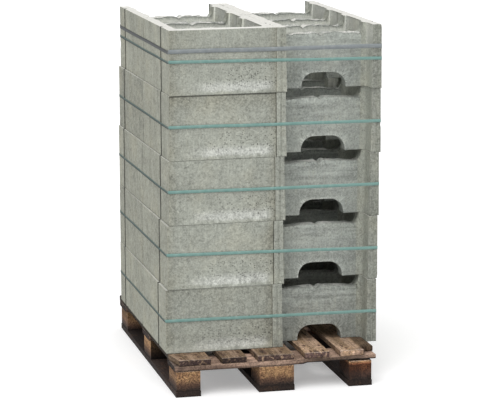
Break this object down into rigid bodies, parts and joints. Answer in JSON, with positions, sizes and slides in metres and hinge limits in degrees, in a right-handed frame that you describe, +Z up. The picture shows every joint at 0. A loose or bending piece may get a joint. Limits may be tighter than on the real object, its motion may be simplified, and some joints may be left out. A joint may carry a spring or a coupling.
{
  "type": "pallet of concrete formwork blocks",
  "caption": "Strapped stack of hollow concrete formwork blocks with arched cross webs on a four-way timber pallet, lifted by forks.",
  "frame": {"origin": "centre of the pallet's underside, on the floor", "axes": "+Z up, +X to the right along the pallet's narrow side, +Y to its rear"},
  "size_m": [0.8653, 1.2, 1.394],
  "materials": {
    "concrete": "matte",
    "deck_wood": "matte",
    "foot_wood": "matte",
    "green_strap": "satin",
    "grey_strap": "satin"
  },
  "bodies": {
    "root": {"block_layer_1_front_left": "concrete", "block_layer_1_front_right": "concrete", "block_layer_1_rear_left": "concrete", "block_layer_1_rear_right": "concrete", "block_layer_2_front_left": "concrete", "block_layer_2_front_right": "concrete", "block_layer_2_rear_left": "concrete", "block_layer_2_rear_right": "concrete", "block_layer_3_front_left": "concrete", "block_layer_3_front_right": "concrete", "block_layer_3_rear_left": "concrete", "block_layer_3_rear_right": "concrete", "block_layer_4_front_left": "concrete", "block_layer_4_front_right": "concrete", "block_layer_4_rear_left": "concrete", "block_layer_4_rear_right": "concrete", "block_layer_5_front_left": "concrete", "block_layer_5_front_right": "concrete", "block_layer_5_rear_left": "concrete", "block_layer_5_rear_right": "concrete", "bottom_board_centre": "foot_wood", "bottom_board_left": "foot_wood", "bottom_board_right": "foot_wood", "deck_board_1": "deck_wood", "deck_board_2": "deck_wood", "deck_board_3": "deck_wood", "deck_board_4": "deck_wood", "deck_board_5": "deck_wood", "pallet_block_front_centre": "foot_wood", "pallet_block_front_left": "foot_wood", "pallet_block_front_right": "foot_wood", "pallet_block_middle_centre": "foot_wood", "pallet_block_middle_left": "foot_wood", "pallet_block_middle_right": "foot_wood", "pallet_block_rear_centre": "foot_wood", "pallet_block_rear_left": "foot_wood", "pallet_block_rear_right": "foot_wood", "strap_layer_1": "green_strap", "strap_layer_2": "green_strap", "strap_layer_3": "green_strap", "strap_layer_4": "green_strap", "strap_layer_5": "green_strap", "strap_top": "grey_strap", "stringer_board_front": "deck_wood", "stringer_board_middle": "deck_wood", "stringer_board_rear": "deck_wood"}
  },
  "joints": []
}
